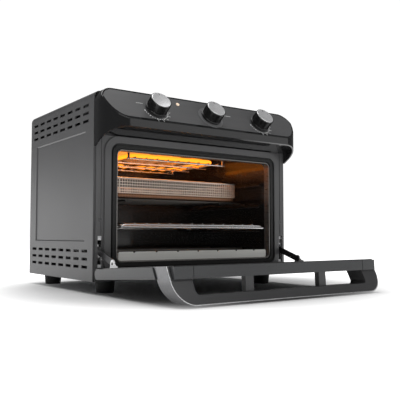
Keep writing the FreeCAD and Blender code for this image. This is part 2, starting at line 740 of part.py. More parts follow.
def glass_spacer():
    half, low, high, radius = GLASS
    ring = slab((half - 0.3, low + 0.3, high - 0.3, radius), (-12.5, -8.2))
    return ring.cut(slab(WINDOW, (-30, 5)))


def hinge_pin():
    return disc((174.0, HINGE_Y, HINGE_Z), (1, 0, 0), PIN_RADIUS, 17.4)


def handle_slope(y, below_top=0.0):
    """Height of the handle's sloping top at a distance in front, with the door closed."""
    return HANDLE_ROOT + HANDLE_SLOPE * (DOOR_OUTER - y) - below_top


def handle_profile(half, inset):
    """The handle's slanting section across the door, from its outer face to the door's inner face."""
    front, back = HANDLE_OUTER, DOOR_INNER - 0.5
    low = HANDLE_DEPTH - inset
    corners = [
        (front, handle_slope(front, inset)),
        (back, handle_slope(back, inset)),
        (back, handle_slope(back, low)),
        (front, handle_slope(front, low)),
    ]
    return extrude_side(corners, (-half, half))


def handle_block(inset):
    """Outer shape of the handle with its cheeks beside the door, shrunk by the inset."""
    half, front = HANDLE_HALF - inset, HANDLE_OUTER + inset
    plan = box((-half, half), (front, DOOR_INNER), (HANDLE_ROOT - 60, HANDLE_ROOT + 30))
    corners = [e for e in plan.Edges if e.BoundBox.ZLength > 1 and e.BoundBox.YMax < front + 1]
    plan = plan.makeFillet(HANDLE_CORNER - inset, corners)
    room = DOOR_SHOULDER + CHEEK_GAP
    door_room = box((-room, room), (DOOR_OUTER, 0), (HANDLE_ROOT - 60, HANDLE_ROOT + 30))
    return plan.common(handle_profile(half, 0.0)).cut(door_room)


def door_handle():
    """Full-width U-shaped handle that leans up from the door, its ends wrapping the door's sides."""
    opening = box(
        (-LEG_INNER, LEG_INNER),
        (HANDLE_OUTER + HANDLE_BAR, DOOR_OUTER + 5),
        (HANDLE_ROOT - 60, HANDLE_ROOT + 30),
    )
    corners = [e for e in opening.Edges if e.BoundBox.ZLength > 1 and e.BoundBox.YMax < DOOR_OUTER]
    return handle_block(0.0).cut([opening.makeFillet(6.0, corners), handle_trim()])


def handle_trim():
    """Thin satin band let into the outside of the handle, cheeks included."""
    band = handle_block(0.0).cut(handle_block(TRIM))
    return band.common(handle_profile(HANDLE_HALF, 0.0))


def handle_post():
    """Standoff between the door and the handle bar."""
    return box(
        (POST_X - POST_HALF, POST_X + POST_HALF),
        (HANDLE_OUTER + HANDLE_BAR, DOOR_OUTER),
        (POST_TOP - POST_DEPTH, POST_TOP),
    )


def link_arm():
    """Steel arm from the door's lug into the frame's column, as it lies with the door open."""
    pivot = disc((ARM_SIDES[0], LUG_Y, LUG_Z), (1, 0, 0), 2.0, 4.4)
    pivot = swing_open(pivot)
    y, z = pivot.CenterOfMass.y, pivot.CenterOfMass.z
    thickness = ARM_SIDES[1] - ARM_SIDES[0]
    blade = box(ARM_SIDES, (y, y + ARM_LENGTH), (z - 5.0, z + 5.0))
    ends = [disc((ARM_SIDES[0], y + at, z), (1, 0, 0), 5.0, thickness) for at in (0.0, ARM_LENGTH)]
    notch = disc((ARM_SIDES[0] - 2, y + ARM_LENGTH - 14, z - 6.0), (1, 0, 0), 3.4, 10)
    arm = fuse([blade] + ends).cut(notch)
    arm.rotate(V(0, y, z), V(1, 0, 0), ARM_RISE)
    return arm.fuse(pivot).removeSplitter()


# ---------------------------------------------------------------- removable ware

def wire_rack():
    """Chromed oven rack: bent outer frame, a raised front rail and rods from front to back."""
    low, high = RACK_LEDGE + 2.3, RACK_LEDGE + 6.0
    half, front, back = RACK_HALF, RACK_FRONT, RACK_BACK
    radius = 2.0
    pieces = [
        rod((-half + 8, front, low), (half - 8, front, low), radius),
        rod((-half + 8, back, low), (half - 8, back, low), radius),
    ]
    for side in (-1, 1):
        pieces.append(rod((side * half, front + 8, low), (side * half, back - 8, low), radius))
        for y, inward in ((front, 8), (back, -8)):
            start = (side * (half - 8), y, low)
            end = (side * half, y + inward, low)
            pieces.append(rod(start, end, radius))
            pieces.append(Part.makeSphere(radius, V(*start)))
            pieces.append(Part.makeSphere(radius, V(*end)))
    for y in (front + 3.0, 132.0, back - 3.0):
        reach = half - 14
        pieces.append(rod((-reach, y, high), (reach, y, high), 1.6))
        for side in (-1, 1):
            pieces.append(rod((side * reach, y, high), (side * (half - 0.5), y + 3.0, low), 1.6))
            pieces.append(Part.makeSphere(1.6, V(side * reach, y, high)))
    for i in range(12):
        x = -121 + i * 22
        pieces.append(rod((x, front + 2, high + 1.8), (x, back - 2, high + 1.8), 1.2))
    return fuse(pieces)


def fry_basket():
    """Thin perforated pan of the basket, open at the top."""
    outer = box((-BASKET_HALF, BASKET_HALF), (BASKET_FRONT, BASKET_BACK), (BASKET_LOW, BASKET_HIGH))
    edges = [e for e in outer.Edges if e.BoundBox.ZLength > 1]
    outer = outer.makeFillet(8.0, edges)
    inner = box(
        (-BASKET_HALF + 1, BASKET_HALF - 1),
        (BASKET_FRONT + 1, BASKET_BACK - 1),
        (BASKET_LOW + 1, BASKET_HIGH + 5),
    )
    edges = [e for e in inner.Edges if e.BoundBox.ZLength > 1]
    return outer.cut(inner.makeFillet(7.0, edges))


def basket_rim():
    """Wire rim round the top of the basket, with a small lifting loop at each end."""
    z = BASKET_HIGH + 1.5
    x, front, back = BASKET_HALF, BASKET_FRONT, BASKET_BACK
    route = [(0, front, z), (x, front, z), (x, back, z), (-x, back, z), (-x, front, z), (0, front, z)]
    ring = bent_wire(route, 1.5, 8.0)
    loop = bent_wire([(x - 0.2, 74, z), (x + 8, 74, z - 4), (x + 8, 104, z - 4), (x - 0.2, 104, z)], 1.2, 2.5)
    return ring.fuse([loop, mirrored(loop)])


def drip_pan():
    """Shallow pan under the basket that catches the fat."""
    low, high = CARRIER_LEDGE + 7.4, BASKET_LOW - 0.4
    half, front, back = BASKET_HALF - 2, BASKET_FRONT + 2, BASKET_BACK - 2
    outer = box((-half, half), (front, back), (low, high))
    edges = [e for e in outer.Edges if e.BoundBox.ZLength > 1]
    outer = outer.makeFillet(10.0, edges)
    inner = box((-half + 1, half - 1), (front + 1, back - 1), (low + 1, high + 5))
    edges = [e for e in inner.Edges if e.BoundBox.ZLength > 1]
    return outer.cut(inner.makeFillet(9.0, edges))


def basket_carrier():
    """Dark wire cradle that rides on the middle ledges and holds the pan and basket."""
    low, high = CARRIER_LEDGE + 1.9, CARRIER_LEDGE + 5.2
    pieces = []
    for side in (-1, 1):
        pieces.append(rod((side * CARRIER_HALF, 66, low), (side * CARRIER_HALF, 240, low), 1.6))
    for i in range(7):
        y = 78.0 + i * 24.0
        route = [(x * side, y, z) for side, x, z in CARRIER_ROUTE]
        pieces.append(bent_wire(route, 1.6, 4.0))
    for x in (-100.0, 100.0):
        pieces.append(rod((x, 74, high - 2.4), (x, 226, high - 2.4), 1.4))
    return fuse(pieces)


def crumb_tray():
    """Aluminium tray on the cavity floor with an upright, notched front."""
    low = CAVITY_FLOOR + 0.3
    floor = box((-149, 149), (4.5, 252), (low, low + 1.0))
    front = slab((TRAY_HALF, low, low + TRAY_FRONT_HEIGHT, 3.0), (3.5, 4.7))
    rims = [
        box((side * 148.5 - 0.5, side * 148.5 + 0.5), (4.5, 252), (low, low + 4))
        for side in (-1, 1)
    ]
    rear = box((-149, 149), (251, 252), (low, low + 4))
    first = -TRAY_NOTCH_PITCH * (TRAY_NOTCHES - 1) / 2
    notches = [
        disc((first + i * TRAY_NOTCH_PITCH, 0, low + TRAY_FRONT_HEIGHT), (0, 1, 0), 2.2, 10)
        for i in range(TRAY_NOTCHES)
    ]
    return fuse([floor, front, rear] + rims).cut(notches)


def terminal_block():
    low = CAVITY_CEILING + CAVITY_SHEET
    block = box((100, 140), (230, 250), (low, low + 12))
    holes = [disc((106.5 + i * 9, 220, low + 6), (0, 1, 0), 2.2, 40) for i in range(4)]
    return block.cut(holes)


def build():
    os.makedirs("parts", exist_ok=True)
    save("outer_shell", outer_shell())
    save("back_panel", back_panel())
    save("cord_gland", cord_gland())
    save("back_screws", Part.makeCompound(back_screws()))
    save("base_plate", base_plate())
    save("feet", Part.makeCompound([foot(place) for place in FOOT_PLACES]))
    save("foot_screws", Part.makeCompound(foot_screws()))
    save("front_frame", front_frame())
    bracket = hinge_bracket()
    save("hinge_bracket_right", bracket)
    save("hinge_bracket_left", mirrored(bracket))
    save("door_gasket", door_gasket())
    save("cavity_mouth", cavity_mouth())
    side = cavity_side()
    save("cavity_side_right", side)
    save("cavity_side_left", mirrored(side))
    save("cavity_top", cavity_top())
    save("cavity_floor", cavity_floor())
    save("cavity_back", cavity_back())
    save("upper_element", upper_element())
    save("element_guard", element_guard())
    save("lower_elements", Part.makeCompound(lower_elements()))
    save("fan_housing", fan_housing())
    save("fan_motor", fan_motor())
    save("fan_shaft", fan_shaft())
    save("fan_blade", fan_blade())
    save("terminal_block", terminal_block())
    save("control_hood", control_hood())
    save("control_panel", control_panel())
    save("dial_ring", dial_ring())
    save("pilot_lamp", pilot_lamp())
    save("timer_clockwork", control_unit(KNOB_XS["timer"], 17.0, 14.0))
    save("thermostat", control_unit(KNOB_XS["temperature"], 14.0, 12.0))
    save("function_switch", control_unit(KNOB_XS["function"], 15.0, 13.0))
    for name, x in KNOB_XS.items():
        save(f"{name}_knob", knob(x))
        save(f"{name}_knob_cap", knob_cap(x))
        save(f"{name}_shaft", knob_shaft(x))
    save("door_frame", swing_open(door_frame()))
    save("door_inner_panel", swing_open(door_inner_panel()))
    lug = arm_lug()
    save("arm_lugs", swing_open(Part.makeCompound([lug, mirrored(lug)])))
    save("door_glass_outer", swing_open(pane((-16.0, -12.5))))
    save("door_glass_inner", swing_open(pane((-8.2, -4.7))))
    save("glass_spacer", swing_open(glass_spacer()))
    save("door_handle", swing_open(door_handle()))
    save("handle_trim", swing_open(handle_trim()))
    post = handle_post()
    save("handle_posts", swing_open(Part.makeCompound([post, mirrored(post)])))
    pin = hinge_pin()
    save("hinge_pins", swing_open(Part.makeCompound([pin, mirrored(pin)])))
    arm = link_arm()
    save("link_arm_right", arm)
    save("link_arm_left", mirrored(arm))
    save("wire_rack", wire_rack())
    save("fry_basket", fry_basket())
    save("basket_rim", basket_rim())
    save("drip_pan", drip_pan())
    save("basket_carrier", basket_carrier())
    save("crumb_tray", crumb_tray())


build()
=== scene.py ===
import json
import math

import bmesh
import bpy
from mathutils import Matrix, Vector


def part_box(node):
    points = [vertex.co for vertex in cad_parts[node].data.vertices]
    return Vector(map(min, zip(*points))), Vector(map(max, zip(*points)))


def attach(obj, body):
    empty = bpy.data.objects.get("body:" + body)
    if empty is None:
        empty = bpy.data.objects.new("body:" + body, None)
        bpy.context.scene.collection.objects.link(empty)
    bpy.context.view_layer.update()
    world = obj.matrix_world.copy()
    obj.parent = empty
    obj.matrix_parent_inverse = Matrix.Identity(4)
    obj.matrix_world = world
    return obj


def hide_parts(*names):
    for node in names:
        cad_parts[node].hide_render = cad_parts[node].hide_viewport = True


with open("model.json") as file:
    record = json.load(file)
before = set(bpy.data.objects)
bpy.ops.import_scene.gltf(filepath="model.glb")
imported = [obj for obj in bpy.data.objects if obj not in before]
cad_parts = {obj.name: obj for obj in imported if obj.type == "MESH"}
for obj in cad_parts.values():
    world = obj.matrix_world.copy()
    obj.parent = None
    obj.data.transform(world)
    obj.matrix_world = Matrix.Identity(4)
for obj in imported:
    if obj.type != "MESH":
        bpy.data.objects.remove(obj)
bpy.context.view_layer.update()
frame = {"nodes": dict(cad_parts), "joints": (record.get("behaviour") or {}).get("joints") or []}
nodes = frame["nodes"]
joints = {joint["name"]: joint for joint in frame["joints"]}


# ------------------------------------------------------------------ studio
# The oven stands on a white sweep, seen from low down in front of its left corner. A large
# soft light overhead does most of the work. A low one behind the left side grades that side,
# one high in front fills the face, and a dim one to the right draws the hood's front lip.

view_place = (-0.5838, -0.8495, 0.0883)
view_tilt, view_swing = 93.4, -35.5
viewpoint = bpy.data.cameras.new("viewpoint")
viewpoint.lens, viewpoint.sensor_width = 53.73, 36.0
camera = bpy.data.objects.new("viewpoint", viewpoint)
camera.location = view_place
camera.rotation_euler = (math.radians(view_tilt), 0.0, math.radians(view_swing))
bpy.context.collection.objects.link(camera)
bpy.context.scene.camera = camera
bpy.context.scene.view_settings.view_transform = "Standard"


def softbox(name, place, target, size, power, colour=(1.0, 1.0, 1.0), spread=180.0):
    """A soft rectangular light aimed at a target."""
    lamp = bpy.data.lights.new(name, "AREA")
    lamp.shape = "RECTANGLE"
    lamp.size, lamp.size_y = size
    lamp.energy = power
    lamp.color = colour
    lamp.spread = math.radians(spread)
    holder = bpy.data.objects.new(name, lamp)
    holder.location = place
    aim = Vector(target) - Vector(place)
    holder.rotation_euler = aim.to_track_quat("-Z", "Y").to_euler()
    bpy.context.collection.objects.link(holder)


softbox("overhead", (-0.25, 0.6, 1.9), (-0.15, 0.4, 0.1), (2.0, 1.8), 32.0)
softbox("left_wall", (-1.15, 1.9, 0.2), (-0.2, 0.1, 0.15), (1.0, 0.3), 2.1)
softbox("front_strip", (0.2, -1.8, 1.9), (0.0, 0.0, 0.15), (1.4, 0.6), 13.0)
softbox("lip_glint", (1.5, -2.1, 0.7), (0.0, 0.0, 0.25), (1.5, 0.8), 2.2)

room_light = 0.1
room_white = 1.05
world = bpy.data.worlds.new("white_room")
world.use_nodes = True
bpy.context.scene.world = world
sky = world.node_tree
sky_shader = sky.nodes["Background"]
seen = sky.nodes.new("ShaderNodeLightPath")
sky_mix = sky.nodes.new("ShaderNodeMapRange")
sky_mix.inputs["To Min"].default_value = room_light
sky_mix.inputs["To Max"].default_value = room_white
sky.links.new(seen.outputs["Is Camera Ray"], sky_mix.inputs["Value"])
sky.links.new(sky_mix.outputs["Result"], sky_shader.inputs["Strength"])
sky_shader.inputs["Color"].default_value = (1.0, 1.0, 1.0, 1.0)

# The paper keeps its own shading under the oven, and turns plain white away from it.
sweep_reach = 30.0
paper_lit_from = 0.22
paper_white_from = 0.46
sweep_mesh = bmesh.new()
bmesh.ops.create_grid(sweep_mesh, x_segments=1, y_segments=1, size=sweep_reach)
sweep_data = bpy.data.meshes.new("sweep")
sweep_mesh.to_mesh(sweep_data)
sweep_mesh.free()
sweep = bpy.data.objects.new("sweep", sweep_data)
bpy.context.collection.objects.link(sweep)
paper = bpy.data.materials.new("sweep_paper")
paper.use_nodes = True
paper_tree = paper.node_tree
paper_shader = paper_tree.nodes["Principled BSDF"]
paper_shader.inputs["Base Color"].default_value = (0.93, 0.93, 0.93, 1.0)
paper_shader.inputs["Roughness"].default_value = 0.62
paper_shader.inputs["Emission Strength"].default_value = 1.0
paper_spot = paper_tree.nodes.new("ShaderNodeTexCoord")
paper_reach = paper_tree.nodes.new("ShaderNodeVectorMath")
paper_reach.operation = "LENGTH"
paper_fade = paper_tree.nodes.new("ShaderNodeMapRange")
paper_fade.inputs["From Min"].default_value = paper_lit_from
paper_fade.inputs["From Max"].default_value = paper_white_from
paper_fade.interpolation_type = "SMOOTHSTEP"
paper_tree.links.new(paper_spot.outputs["Object"], paper_reach.inputs[0])
paper_tree.links.new(paper_reach.outputs["Value"], paper_fade.inputs["Value"])
paper_tree.links.new(paper_fade.outputs["Result"], paper_shader.inputs["Emission Color"])
sweep_data.materials.append(paper)


# ------------------------------------------------------------------ outer shell
# One folded steel sheet makes both sides and the top; its louvres are punched and a field is
# pressed into each side. It is powder coated in charcoal, with a fine, slightly pearly grain.

cloud_scale = 7.0
grain_share = 0.45
grain_range = (0.3, 0.7)
relief_depth = 0.0004
coat_grain = bpy.data.node_groups.new("coat_grain", "ShaderNodeTree")
for label, kind, start in (
    ("Vector", "NodeSocketVector", None),
    ("Grain Scale", "NodeSocketFloat", 1500.0),
    ("Cloud Scale", "NodeSocketFloat", cloud_scale),
):
    inlet = coat_grain.interface.new_socket(label, in_out="INPUT", socket_type=kind)
    if start is not None:
        inlet.default_value = start
for label in ("Grain", "Clouds"):
    coat_grain.interface.new_socket(label, in_out="OUTPUT", socket_type="NodeSocketFloat")
entry = coat_grain.nodes.new("NodeGroupInput")
leave = coat_grain.nodes.new("NodeGroupOutput")
for label, socket, detail in (("Grain", "Grain Scale", 2.0), ("Clouds", "Cloud Scale", 4.0)):
    noise = coat_grain.nodes.new("ShaderNodeTexNoise")
    noise.inputs["Detail"].default_value = detail
    coat_grain.links.new(entry.outputs["Vector"], noise.inputs["Vector"])
    coat_grain.links.new(entry.outputs[socket], noise.inputs["Scale"])
    coat_grain.links.new(noise.outputs["Fac"], leave.inputs[label])


def finish(
    name, deep, bright, rough,
    grain=1500.0, relief=0.04, metallic=0.0, coat=0.0, stretch=(1.0, 1.0, 1.0),
):
    """A material that drifts between two tones, its roughness and relief following a grain."""
    made = bpy.data.materials.new(name)
    made.use_nodes = True
    tree = made.node_tree
    shader = tree.nodes["Principled BSDF"]
    shader.inputs["Metallic"].default_value = metallic
    shader.inputs["Coat Weight"].default_value = coat
    shader.inputs["Coat Roughness"].default_value = 0.06
    spot = tree.nodes.new("ShaderNodeTexCoord")
    turn = tree.nodes.new("ShaderNodeMapping")
    turn.inputs["Scale"].default_value = stretch
    pattern = tree.nodes.new("ShaderNodeGroup")
    pattern.node_tree = coat_grain
    pattern.inputs["Grain Scale"].default_value = grain
    pattern.inputs["Cloud Scale"].default_value = cloud_scale
    tones = tree.nodes.new("ShaderNodeMix")
    tones.data_type = "RGBA"
    tones.inputs["A"].default_value = (*deep, 1.0)
    tones.inputs["B"].default_value = (*bright, 1.0)
    blend = tree.nodes.new("ShaderNodeMath")
    blend.operation = "MULTIPLY_ADD"
    blend.inputs[1].default_value = grain_share
    blend.use_clamp = True
    gloss = tree.nodes.new("ShaderNodeMapRange")
    gloss.inputs["From Min"].default_value, gloss.inputs["From Max"].default_value = grain_range
    gloss.inputs["To Min"].default_value, gloss.inputs["To Max"].default_value = rough
    bump = tree.nodes.new("ShaderNodeBump")
    bump.inputs["Strength"].default_value = relief
    bump.inputs["Distance"].default_value = relief_depth
    tree.links.new(spot.outputs["Object"], turn.inputs["Vector"])
    tree.links.new(turn.outputs["Vector"], pattern.inputs["Vector"])
    tree.links.new(pattern.outputs["Grain"], blend.inputs[0])
    tree.links.new(pattern.outputs["Clouds"], blend.inputs[2])
    tree.links.new(blend.outputs[0], tones.inputs["Factor"])
    tree.links.new(tones.outputs["Result"], shader.inputs["Base Color"])
    tree.links.new(pattern.outputs["Grain"], gloss.inputs["Value"])
    tree.links.new(gloss.outputs["Result"], shader.inputs["Roughness"])
    tree.links.new(pattern.outputs["Grain"], bump.inputs["Height"])
    tree.links.new(bump.outputs["Normal"], shader.inputs["Normal"])
    return made


def dress(material, *names):
    """Gives the frame's own pieces their finish."""
    for name in names:
        for place in nodes[name].material_slots:
            place.material = material


charcoal = finish(
    "charcoal_powder_coat", (0.052, 0.052, 0.054), (0.082, 0.082, 0.084), (0.34, 0.5), relief=0.12
)
dress(charcoal, "outer_shell", "back_panel")

zinc_screw = finish(
    "zinc_screw", (0.3, 0.3, 0.31), (0.5, 0.5, 0.51), (0.3, 0.5), metallic=1.0, grain=3000.0
)
dress(zinc_screw, "back_screws", "foot_screws")


# ------------------------------------------------------------------ base and feet
# The floor of the cabinet is a bare galvanised sheet with rows of air slots. Four moulded
# rubber feet are screwed up into it.

galvanised = finish(
    "galvanised_sheet", (0.28, 0.29, 0.3), (0.46, 0.47, 0.48), (0.35, 0.6),
    grain=90.0, relief=0.05, metallic=0.9,
)
dress(galvanised, "base_plate", "fan_housing", "fan_blade")

rubber = finish(
    "moulded_rubber", (0.004, 0.004, 0.004), (0.01, 0.01, 0.01), (0.6, 0.85),
    grain=700.0, relief=0.2,
)
dress(rubber, "feet", "cord_gland")


# ------------------------------------------------------------------ front frame
# A pressed steel front with a raised bead round the mouth and a slot in each column for the
# door's arms. It has the cabinet's coat; the mouth is a satin steel collar with a black
# silicone gasket round it, and the same rubber parts the door's two panes.

front_coat = finish(
    "front_frame_coat", (0.065, 0.065, 0.066), (0.1, 0.1, 0.102), (0.28, 0.42), relief=0.1
)
dress(front_coat, "front_frame")

collar_steel = finish(
    "mouth_steel", (0.16, 0.155, 0.15), (0.26, 0.25, 0.24), (0.25, 0.4),
    metallic=0.7, stretch=(30.0, 1.0, 30.0), grain=60.0,
)
dress(collar_steel, "cavity_mouth")

gasket_black = finish(
    "silicone_gasket", (0.006, 0.006, 0.006), (0.012, 0.012, 0.012), (0.55, 0.8),
    grain=700.0, relief=0.15,
)
dress(gasket_black, "door_gasket", "glass_spacer")


# ------------------------------------------------------------------ column stops
# A small pressed ring on each column, above the slot, is where the frame is riveted to the
# bracket behind it. It stands a few tenths of a millimetre proud of the coated face.


def link_piece(name, bm, material, place, body, smooth=True):
    """Turns a finished bmesh into a piece of the object, riding on a body."""
    bmesh.ops.transform(bm, matrix=place, verts=bm.verts)
    data = bpy.data.meshes.new(name)
    bm.to_mesh(data)
    bm.free()
    for polygon in data.polygons:
        polygon.use_smooth = smooth
    data.materials.append(material)
    piece = bpy.data.objects.new(name, data)
    bpy.context.collection.objects.link(piece)
    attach(piece, body)
    return piece


def turned(outline, steps):
    """A shape turned on a lathe from pairs of radius and height."""
    bm = bmesh.new()
    points = [bm.verts.new((radius, 0.0, height)) for radius, height in outline]
    for first, second in zip(points, points[1:]):
        bm.edges.new((first, second))
    bmesh.ops.spin(
        bm, geom=bm.verts[:] + bm.edges[:], cent=(0, 0, 0), axis=(0, 0, 1),
        angle=2 * math.pi, steps=steps, use_merge=True,
    )
    bmesh.ops.remove_doubles(bm, verts=bm.verts[:], dist=0.00001)
    bmesh.ops.recalc_face_normals(bm, faces=bm.faces[:])
    return bm


frame_depth = 0.009
column_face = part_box("front_frame")[1][1] - frame_depth
stop_across, stop_up = 0.184, 0.1125
stop_outline = [
    (0.0012, 0.0), (0.0036, 0.0), (0.0036, 0.0003), (0.0033, 0.0006),
    (0.0026, 0.0006), (0.0022, 0.0001), (0.0012, 0.0001), (0.0012, 0.0),
]
face_outwards = Matrix.Rotation(math.pi / 2, 4, "X")
for side, label in ((-1, "left"), (1, "right")):
    seat = Matrix.Translation((side * stop_across, column_face, stop_up)) @ face_outwards
    stop = turned(stop_outline, 32)
    link_piece(f"column_stop_{label}", stop, front_coat, seat, "oven")


# ------------------------------------------------------------------ hinge brackets and arms
# A bracket behind each column has an ear for the door's pin, and a lug on the door's lining
# holds the flat arm that runs into the column. Brackets and lugs are pressed in zinc plate,
# coloured near white and barely metallic as a painted reflection that keeps them bright in the
# shade of the slot. Pins and shafts are turned and plated, and the two arms are blued.

plated = finish(
    "zinc_plated_steel", (0.42, 0.42, 0.43), (0.72, 0.72, 0.73), (0.18, 0.36),
    metallic=1.0, grain=400.0, relief=0.08,
)
dress(plated, "hinge_pins", "fan_shaft", "timer_shaft", "temperature_shaft", "function_shaft")

# Painted reflection: the zinc gets a near-white, barely metallic colour so brackets and lugs look
# bright in the shaded slot.
zinc_painted_bright = finish(
    "zinc_painted_sheen", (0.85, 0.85, 0.86), (0.97, 0.97, 0.98), (0.25, 0.4),
    metallic=0.1, grain=400.0, relief=0.08,
)
dress(zinc_painted_bright, "arm_lugs", "hinge_bracket_left", "hinge_bracket_right")

blued = finish("blued_steel", (0.02, 0.02, 0.021), (0.05, 0.05, 0.052), (0.3, 0.5), metallic=0.6)
dress(blued, "link_arm_left", "link_arm_right")


# ------------------------------------------------------------------ cavity
# Five enamelled sheets spot-welded into a box, with three pressed ledges on each side.
# The enamel is nearly black and glossy, so it picks up the glow from the top of the oven.

enamel = finish(
    "black_enamel", (0.009, 0.0085, 0.0085), (0.018, 0.0165, 0.016), (0.14, 0.3),
    relief=0.06, coat=0.4, grain=500.0,
)
dress(enamel, "cavity_side_left", "cavity_side_right", "cavity_floor", "cavity_back", "cavity_top")


# ------------------------------------------------------------------ heating elements and guard
# Steel-sheathed tubes filled with wire and magnesia: one loop under the fan, glowing but for
# its cold leads at the back, and two straight ones near the floor, dark. A welded chromed
# guard hangs below the upper loop.

sheath = finish(
    "element_sheath", (0.06, 0.058, 0.055), (0.13, 0.12, 0.11), (0.4, 0.6),
    metallic=0.8, grain=900.0,
)
dress(sheath, "lower_elements")


def fade_tone(material, target, source, reach, before, after):
    """Turns a colour from one tone to another across a reach; None keeps the tone it had."""
    tree = material.node_tree
    fed = tree.nodes["Principled BSDF"].inputs[target]
    mask = tree.nodes.new("ShaderNodeMapRange")
    mask.inputs["From Min"].default_value, mask.inputs["From Max"].default_value = reach
    tones = tree.nodes.new("ShaderNodeMix")
    tones.data_type = "RGBA"
    for side, tone in (("A", before), ("B", after)):
        if tone is None:
            tree.links.new(fed.links[0].from_socket, tones.inputs[side])
        else:
            tones.inputs[side].default_value = (*tone, 1.0)
    tree.links.new(source, mask.inputs["Value"])
    tree.links.new(mask.outputs["Result"], tones.inputs["Factor"])
    tree.links.new(tones.outputs["Result"], fed)


def depth_of(material, output):
    """The front-to-back part of a place on the piece, or of the way its surface faces."""
    tree = material.node_tree
    spot = tree.nodes.new("ShaderNodeTexCoord")
    split = tree.nodes.new("ShaderNodeSeparateXYZ")
    tree.links.new(spot.outputs[output], split.inputs["Vector"])
    return split.outputs["Y"]


hot_orange, cold_black = (1.0, 0.29, 0.012), (0.0, 0.0, 0.0)
cold_leads_from = (0.2, 0.215)
glowing = finish("glowing_sheath", (0.3, 0.06, 0.01), (0.45, 0.1, 0.02), (0.4, 0.6), grain=300.0)
glowing.node_tree.nodes["Principled BSDF"].inputs["Emission Strength"].default_value = 1.9
fade_tone(
    glowing, "Emission Color", depth_of(glowing, "Object"), cold_leads_from, hot_orange, cold_black
)
dress(glowing, "upper_element")

chrome = finish(
    "chromed_wire", (0.55, 0.55, 0.56), (0.82, 0.82, 0.83), (0.08, 0.2), metallic=1.0, grain=1200.0
)
dress(chrome, "element_guard", "wire_rack")

element_middle = 0.12
lamp_above, lamp_below = 0.223, 0.212
softbox(
    "element_glow_up", (0.0, element_middle, lamp_above), (0.0, element_middle, 0.3),
    (0.22, 0.16), 0.26, colour=(1.0, 0.27, 0.03),
)
softbox(
    "element_glow_down", (0.0, element_middle, lamp_below), (0.0, element_middle, 0.0),
    (0.24, 0.18), 0.6, colour=(1.0, 0.42, 0.14), spread=90.0,
)


# ------------------------------------------------------------------ fan motor and wiring blocks
# A shaded-pole motor on top of the fan's can, a ceramic terminal block, and the moulded bodies
# of the timer, the thermostat and the switch behind the panel. None shows from outside.

motor_steel = finish(
    "motor_laminations", (0.16, 0.16, 0.17), (0.3, 0.3, 0.31), (0.4, 0.6),
    metallic=0.9, stretch=(1, 1, 60),
)
dress(motor_steel, "fan_motor")

moulded_block = finish(
    "phenolic_moulding", (0.42, 0.4, 0.35), (0.55, 0.52, 0.46), (0.45, 0.65),
    grain=500.0, relief=0.1,
)
dress(moulded_block, "terminal_block", "timer_clockwork", "thermostat", "function_switch")


# ------------------------------------------------------------------ hood and control panel
# The hood is one gloss black moulding that overhangs the door. A satin grey plate is let into
# its sloping face, with a metal ring behind the middle dial and a small pilot lamp.

gloss_black = finish(
    "gloss_black_moulding", (0.007, 0.007, 0.0075), (0.012, 0.012, 0.0125), (0.06, 0.14),
    relief=0.015, coat=0.6, grain=200.0,
)
dress(gloss_black, "control_hood")

panel_grey = finish(
    "satin_grey_plate", (0.07, 0.07, 0.071), (0.095, 0.095, 0.097), (0.4, 0.52),
    stretch=(1, 40, 40), grain=60.0,
)
dress(panel_grey, "control_panel")

satin_metal = finish(
    "satin_aluminium", (0.15, 0.15, 0.153), (0.2, 0.2, 0.204), (0.34, 0.46),
    metallic=0.3, stretch=(1, 30, 30), grain=60.0,
)
dress(satin_metal, "dial_ring")

lens = finish("pilot_lens", (0.9, 0.55, 0.3), (1.0, 0.8, 0.6), (0.1, 0.2), coat=0.5)
lens_shader = lens.node_tree.nodes["Principled BSDF"]
lens_shader.inputs["Emission Color"].default_value = (1.0, 0.85, 0.7, 1.0)
lens_shader.inputs["Emission Strength"].default_value = 0.3
dress(lens, "pilot_lamp")


# ------------------------------------------------------------------ dial marks
# Pale dots are printed close round the lower half of the outer two dials, with short strokes
# outside them, and two tiny rows of strokes stand for the wording left off the plate.

ink = finish("pale_ink", (0.8, 0.8, 0.8), (0.95, 0.95, 0.95), (0.5, 0.6), grain=2000.0)
ink_height = 0.00012
ink_lift = 0.75 * ink_height


def panel_place(joint_name):
    """The frame of a dial: its axis along local Z, the panel's surface at local zero."""
    joint = joints[joint_name]
    axis = Vector(joint["axis"])
    tilt = math.atan2(-axis.y, axis.z)
    return Matrix.Translation(joint["pos_m"]) @ Matrix.Rotation(tilt, 4, "X")


def printed_dot(target, place, x, y, radius):
    bmesh.ops.create_cone(
        target, cap_ends=True, segments=12, radius1=radius, radius2=radius, depth=ink_height,
        matrix=place @ Matrix.Translation((x, y, ink_lift)),
    )


def printed_stroke(target, place, x, y, angle, length, width):
    bmesh.ops.create_cube(
        target, size=1.0,
        matrix=place @ Matrix.Translation((x, y, ink_lift)) @ Matrix.Rotation(angle, 4, "Z")
        @ Matrix.Diagonal((length, width, ink_height, 1.0)),
    )


dot_circle, dot_count, dot_first, dot_step = 0.0208, 15, 190, 11.5
big_dot, small_dot = 0.0013, 0.0009
stroke_circle, stroke_count, stroke_first, stroke_step = 0.0242, 5, 262, 23
stroke_length, stroke_width = 0.0026, 0.0009
dial_marks = bmesh.new()
for joint_name in ("timer_turn", "function_turn"):
    place = panel_place(joint_name)
    for i in range(dot_count):
        angle = math.radians(dot_first + i * dot_step)
        x, y = dot_circle * math.cos(angle), dot_circle * math.sin(angle)
        printed_dot(dial_marks, place, x, y, big_dot if i % 3 == 0 else small_dot)
    for i in range(stroke_count):
        angle = math.radians(stroke_first + i * stroke_step)
        x, y = stroke_circle * math.cos(angle), stroke_circle * math.sin(angle)
        printed_stroke(dial_marks, place, x, y, angle, stroke_length, stroke_width)

